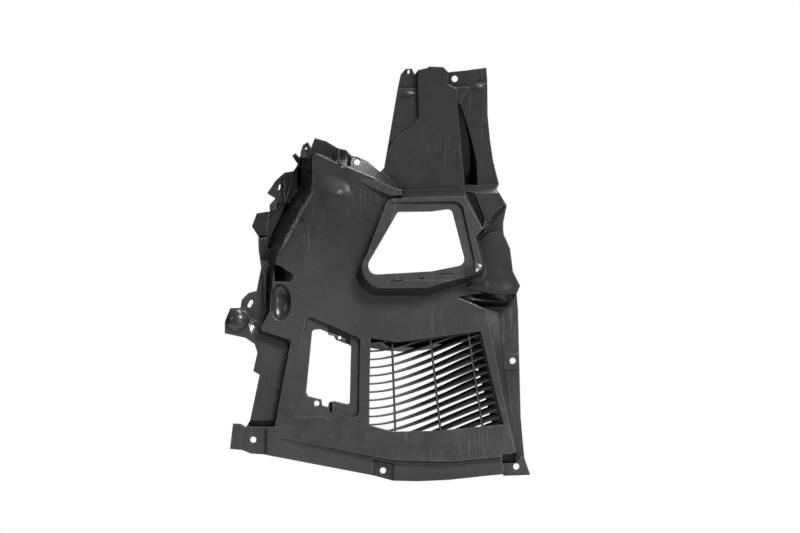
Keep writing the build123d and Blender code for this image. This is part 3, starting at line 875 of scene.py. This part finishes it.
@dataclass
class DuctLining:
    """The duct's dark walls, the broad backs of its ribs and the wide tails of its vanes."""

    slot: str = "moulding"
    arch: Arch = field(default_factory=Arch)
    thick: float = 0.0012
    steps: int = 8
    bow: float = 0.8
    wall_depth: Pair = (0.0035, 0.026)
    right_edge: tuple[Pair, Pair] = ((0.1212, 0.1727), (0.15, 0.0585))
    right_lean: float = 0.0125
    right_fall: float = 0.004
    top_edge: tuple[Point, ...] = (
        (-0.0152, 0.1655, 0.007), (0.0, 0.1631, 0.01), (0.0176, 0.1604, 0.0135),
        (0.05, 0.1644, 0.015), (0.08, 0.1683, 0.0135), (0.1212, 0.1734, 0.008))
    rib_lines: tuple[tuple[Pair, Pair], ...] = (
        ((0.0112, 0.163), (0.0153, 0.049)), ((0.0594, 0.166), (0.0719, 0.049)),
        ((0.1068, 0.1715), (0.1245, 0.0535)))
    rib_half: float = 0.0015
    rib_depth: float = 0.0095
    rib_ridge: float = 0.0006
    vane_count: int = 16
    vane_top: float = 0.1594
    vane_pitch: float = 0.0102
    vane_recess: float = 0.004
    vane_chord: float = 0.014
    stations: tuple[Point, ...] = (
        (-0.024, -0.0005, 2.0), (0.016, 0.0036, 7.0), (0.068, 0.0205, 20.0), (0.117, 0.0395, 28.0),
        (0.158, 0.055, 32.0))
    tail_start: float = 0.062
    tail_full: float = 0.096
    tail_end: float = 0.119
    tail_past: float = 0.01
    tail_reach: float = 0.0052
    tail_least: float = 0.0004
    tail_root: Pair = (0.88, 0.96)
    tail_low: Pair = (0.082, 0.02)
    tail_low_past: Pair = (0.13, 0.008)
    tail_roof: float = 0.158
    tail_roof_rise: float = 0.1

    def build(self, plastic: bpy.types.Material) -> list[bpy.types.Object]:
        """Makes the walls, the ribs' backs and the tails.

        Args:
            plastic: The moulding's finish.

        Returns:
            The pieces.
        """
        sheets = {"duct_right_wall": self._right_rows(), "duct_top_wall": self._top_rows()}
        for index, (upper, lower) in enumerate(self.rib_lines):
            sheets[f"rib_back_{index + 1}"] = self._rib_rows(upper, lower)
        for index in range(self.vane_count):
            rows = self._tail_rows(self.vane_top - index * self.vane_pitch)
            if len(rows) > 2:
                sheets[f"vane_tail_{index + 1}"] = rows
        return [self._sheet(name, rows, plastic) for name, rows in sheets.items()]

    def _line(self, start: Pair, end: Pair) -> list[Pair]:
        """Divides a straight line on the liner.

        Args:
            start: Its upper end.
            end: Its lower end.

        Returns:
            Places across and up the liner, from top to bottom.
        """
        count = self.steps * 2
        return [(start[0] + (end[0] - start[0]) * step / count,
                 start[1] + (end[1] - start[1]) * step / count) for step in range(count + 1)]

    def _wall_row(self, x: float, z: float, lean: float, fall: float, bow: float) -> list[Point]:
        """Lays out one row of a wall, from the mouth's edge back and in behind the vanes.

        Args:
            x: Where it starts across the liner.
            z: Where it starts up the liner.
            lean: How far it goes to the left.
            fall: How far it goes down.
            bow: The power that the fall follows.

        Returns:
            The row's points.
        """
        near, far = self.wall_depth
        row = []
        for step in range(self.steps + 1):
            part = step / self.steps
            depth = near + (far - near) * part - self.arch.height(z)
            row.append((x - lean * part ** self.bow, depth, z - fall * part ** bow))
        return row

    def _right_rows(self) -> list[list[Point]]:
        """Lays out the right wall in rows from top to bottom."""
        return [self._wall_row(x, z, self.right_lean, self.right_fall, 1.0)
                for x, z in self._line(*self.right_edge)]

    def _top_rows(self) -> list[list[Point]]:
        """Lays out the top wall in rows from left to right."""
        return [self._wall_row(x, z, 0.0, fall, self.bow) for x, z, fall in self.top_edge]

    def _rib_rows(self, upper: Pair, lower: Pair) -> list[list[Point]]:
        """Lays out the broad back of one upright rib.

        Args:
            upper: Its upper end, across and up the liner.
            lower: Its lower end.

        Returns:
            Rows of points from top to bottom.
        """
        rows = []
        for x, z in self._line(upper, lower):
            depth = self.rib_depth - self.arch.height(z)
            rows.append([(x + self.rib_half * side, depth + self.rib_ridge * abs(side), z)
                         for side in (-1, 0, 1)])
        return rows

    def _along(self, x: float) -> Pair:
        """Gives a vane's rise and turn at one place, on a smooth curve through its stations.

        Args:
            x: Place across the liner.

        Returns:
            The rise in metres and the turn in degrees.
        """
        last = len(self.stations) - 1
        here = max(index for index in range(last) if self.stations[index][0] <= x or index == 0)
        before, start = self.stations[max(here - 1, 0)], self.stations[here]
        end, after = self.stations[here + 1], self.stations[min(here + 2, last)]
        span = end[0] - start[0]
        part = (x - start[0]) / span
        found = []
        for kind in (1, 2):
            leave = (end[kind] - before[kind]) / (end[0] - before[0]) * span
            reach = (after[kind] - start[kind]) / (after[0] - start[0]) * span
            found.append((2 * part ** 3 - 3 * part ** 2 + 1) * start[kind]
                         + (part ** 3 - 2 * part ** 2 + part) * leave
                         + (3 * part ** 2 - 2 * part ** 3) * end[kind]
                         + (part ** 3 - part ** 2) * reach)
        return found[0], found[1]

    def _tail_rows(self, left_z: float) -> list[list[Point]]:
        """Lays out the tail of one vane, as far as it lies in the duct.

        Args:
            left_z: The height of the vane's left end.

        Returns:
            Rows of points from left to right.
        """
        rows = []
        count = self.steps * 3
        end = self.right_edge[0][0] + self.tail_past
        for step in range(count + 1):
            x = self.tail_start + (end - self.tail_start) * step / count
            rise, turn = self._along(x)
            z = left_z + rise
            lean = math.radians(turn)
            grown = min(1.0, (x - self.tail_start) / (self.tail_full - self.tail_start))
            lower = share(z, *self.tail_low)
            if x > self.tail_end:
                lower *= share(z, *self.tail_low_past)
            reach = self.tail_reach * grown * lower
            roof = self.tail_roof + self.tail_roof_rise * (x - self.tail_start)
            if reach < self.tail_least or z > roof:
                continue
            front = self.vane_recess - self.arch.height(z)
            row = []
            longer = reach / self.vane_chord
            for part in (*self.tail_root, 1.0 + longer * 0.5, 1.0 + longer):
                back = self.vane_chord * part
                row.append((x, front + back * math.cos(lean), z + back * math.sin(lean)))
            rows.append(row)
        return rows

    def _sheet(self, name: str, rows: list[list[Point]],
               plastic: bpy.types.Material) -> bpy.types.Object:
        """Builds one sheet from rows of points.

        Args:
            name: The piece's name.
            rows: Its points.
            plastic: Its finish.

        Returns:
            The piece.
        """
        across = len(rows[0])
        faces = []
        for row in range(len(rows) - 1):
            for first in range(row * across, (row + 1) * across - 1):
                faces.append((first, first + 1, first + across + 1, first + across))
        mesh = bpy.data.meshes.new(name)
        mesh.from_pydata([point for row in rows for point in row], [], faces)
        mesh.shade_smooth()
        mesh.materials.append(plastic)
        piece = link(name, mesh)
        skin = piece.modifiers.new("wall", "SOLIDIFY")
        skin.thickness = self.thick
        skin.offset = 0.0
        smooth = piece.modifiers.new("smooth", "SUBSURF")
        smooth.levels = smooth.render_levels = 1
        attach(piece, "root")
        return piece


@dataclass(frozen=True)
class SoftBox:
    """A soft studio lamp that looks at the liner's middle."""

    name: str
    place: Point
    width: float
    height: float
    watts: float

    def build(self, target: Vector) -> bpy.types.Object:
        """Hangs the lamp.

        Args:
            target: The point that it looks at.

        Returns:
            The lamp.
        """
        data = bpy.data.lights.new(self.name, "AREA")
        data.shape = "RECTANGLE"
        data.size = self.width
        data.size_y = self.height
        data.energy = self.watts
        lamp = link(self.name, data)
        lamp.location = self.place
        way = target - Vector(self.place)
        lamp.rotation_euler = way.to_track_quat("-Z", "Y").to_euler()
        lamp.visible_camera = False
        return lamp


@dataclass
class Studio:
    """A pale floor, an even backdrop, a dim room and soft lamps."""

    floor_half: Pair = (0.7, 0.22)
    floor_gap: float = 0.0005
    floor_tone: Colour = (0.36, 0.36, 0.36, 1.0)
    floor_fibre: Colour = (0.32, 0.32, 0.32, 1.0)
    floor_rough: float = 0.8
    floor_glow: float = 0.85
    fibre: Pattern = Pattern(240.0, 4.0, 0.7, 0.3, 0.7)
    room_tone: Colour = (0.008, 0.008, 0.008, 1.0)
    front_tone: Colour = (0.7, 0.7, 0.71, 1.0)
    behind_y: Pair = (0.9, 0.97)
    front_y: Pair = (-0.1, -0.9)
    front_sides: Pair = (-0.5, -0.05)
    upper_z: Pair = (0.1, 0.4)
    upper_share: float = 0.3
    table_share: float = 0.75
    table_far_z: Pair = (-0.52, -0.62)
    table_near_z: Pair = (-0.85, -0.75)
    table_y: Pair = (-0.2, -0.5)
    lamps: tuple[SoftBox, ...] = (
        SoftBox("key_lamp", (1.7, -2.9, 2.7), 0.9, 0.9, 215.0),
        SoftBox("top_lamp", (0.4, 0.3, 2.8), 1.8, 0.6, 55.0),
        SoftBox("side_lamp", (2.6, 0.3, 0.6), 0.4, 1.2, 9.0),
        SoftBox("left_strip", (-2.6, -1.6, 1.1), 0.12, 1.2, 12.0),
        SoftBox("low_lamp", (1.75, -3.6, -0.3), 0.25, 0.25, 18.0),
    )

    def build(self, lowest: float, target: Vector) -> None:
        """Lays the floor, hangs the lamps and lights the world.

        Args:
            lowest: The liner's lowest height.
            target: The point that the lamps look at.
        """
        self._floor(lowest - self.floor_gap)
        for lamp in self.lamps:
            lamp.build(target)
        self._world()

    def _floor(self, height: float) -> None:
        """Lays the pale floor.

        Args:
            height: How high it lies.
        """
        mesh = bpy.data.meshes.new("floor")
        across, along = self.floor_half
        corners = [(-across, -along, height), (across, -along, height), (across, along, height),
                   (-across, along, height)]
        mesh.from_pydata(corners, [], [(0, 1, 2, 3)])
        mesh.materials.append(self._paper())
        link("floor", mesh)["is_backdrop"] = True

    def _paper(self) -> bpy.types.Material:
        """Builds the floor's paper, which shows white as the backdrop does.

        Returns:
            The material.
        """
        paper = bpy.data.materials.new("floor_paper")
        paper.use_nodes = True
        wires = Wiring(paper.node_tree)
        place = wires.node("ShaderNodeTexCoord").outputs["Object"]
        shader = wires.node("ShaderNodeBsdfPrincipled", None, Roughness=self.floor_rough)
        tone = wires.layer(self.floor_tone, self.floor_fibre, wires.marks(place, self.fibre))
        wires.join(tone, shader.inputs["Base Color"])
        rays = wires.node("ShaderNodeLightPath")
        shown = rays.outputs[Ray.CAMERA.value]
        for ray in (Ray.GLOSSY, Ray.TRANSMISSION):
            shown = wires.math("MAXIMUM", shown, rays.outputs[ray.value])
        glow = wires.node("ShaderNodeEmission", None, Color=WHITE)
        wires.join(wires.math("MULTIPLY", shown, self.floor_glow), glow.inputs["Strength"])
        both = wires.node("ShaderNodeAddShader")
        wires.join(shader.outputs["BSDF"], both.inputs[0])
        wires.join(glow.outputs["Emission"], both.inputs[1])
        surface = wires.node("ShaderNodeOutputMaterial").inputs["Surface"]
        wires.join(both.outputs["Shader"], surface)
        return paper

    def _world(self) -> None:
        """Makes the world a white backdrop behind the liner and a dim room in front of it."""
        world = bpy.data.worlds.new("studio")
        world.use_nodes = True
        bpy.context.scene.world = world
        wires = Wiring(world.node_tree)
        rays = wires.node("ShaderNodeLightPath").outputs
        split = wires.node("ShaderNodeSeparateXYZ")
        wires.join(wires.node("ShaderNodeTexCoord").outputs["Generated"], split.inputs["Vector"])
        room = wires.layer(self.room_tone, self.front_tone, self._front(wires, split.outputs))
        mirrored = wires.math("MAXIMUM", rays[Ray.GLOSSY.value], rays[Ray.TRANSMISSION.value])
        behind = wires.math("MULTIPLY", mirrored, wires.ramp(split.outputs["Y"], *self.behind_y))
        shown = wires.math("MAXIMUM", rays[Ray.CAMERA.value], behind)
        sky = wires.node("ShaderNodeBackground", None, Strength=1.0)
        wires.join(wires.layer(room, WHITE, shown), sky.inputs["Color"])
        surface = wires.node("ShaderNodeOutputWorld").inputs["Surface"]
        wires.join(sky.outputs["Background"], surface)

    def _front(self, wires: Wiring, way: bpy.types.NodeOutputs) -> Socket:
        """Places the pale wall and the table in front of the liner.

        Args:
            wires: The world's wiring.
            way: The looked-at direction's parts.

        Returns:
            A socket that is near 1 on the wall, less on the table and 0 elsewhere.
        """
        wall = wires.ramp(way["Y"], *self.front_y)
        for side in ("X", "Z"):
            wall = wires.math("MULTIPLY", wall, wires.ramp(way[side], *self.front_sides))
        wall = wires.math("MULTIPLY", wall,
                          wires.ramp(way["Z"], *self.upper_z, 1.0, self.upper_share))
        table = wires.math("MULTIPLY", wires.ramp(way["Z"], *self.table_far_z),
                           wires.ramp(way["Z"], *self.table_near_z, 0.0, self.table_share))
        table = wires.math("MULTIPLY", table, wires.ramp(way["Y"], *self.table_y))
        return wires.math("MAXIMUM", wall, table)


@dataclass(frozen=True)
class PictureCamera:
    """The camera, square on to the liner's wheel side and far enough away to look flat."""

    aim: Point = (0.02125, 0.0, 0.255)
    distance: float = 8.0
    width_seen: float = 1.0
    sensor: float = 36.0

    def build(self) -> None:
        """Places the camera and makes it the scene's own."""
        data = bpy.data.cameras.new("picture_camera")
        data.sensor_width = self.sensor
        data.lens = self.sensor * self.distance / self.width_seen
        data.clip_end = self.distance * 5
        camera = link("picture_camera", data)
        camera.location = (self.aim[0], -self.distance, self.aim[2])
        camera.rotation_euler = (math.radians(90.0), 0.0, 0.0)
        bpy.context.scene.camera = camera


def main() -> None:
    """Dresses the liner and builds the studio round it."""
    logging.basicConfig(level=logging.INFO, format="%(message)s")
    bpy.context.scene.view_settings.view_transform = "Standard"
    piece = Liner().build()
    log.info("built %s: %d faces", piece.name, len(piece.data.polygons))
    for sheet in DuctLining().build(piece.data.materials[0]):
        log.info("built %s", sheet.name)
    low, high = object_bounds()
    Studio().build(low.z, (low + high) / 2)
    log.info("studio lit")
    PictureCamera().build()
    log.info("camera placed")


if __name__ == "__main__":
    main()
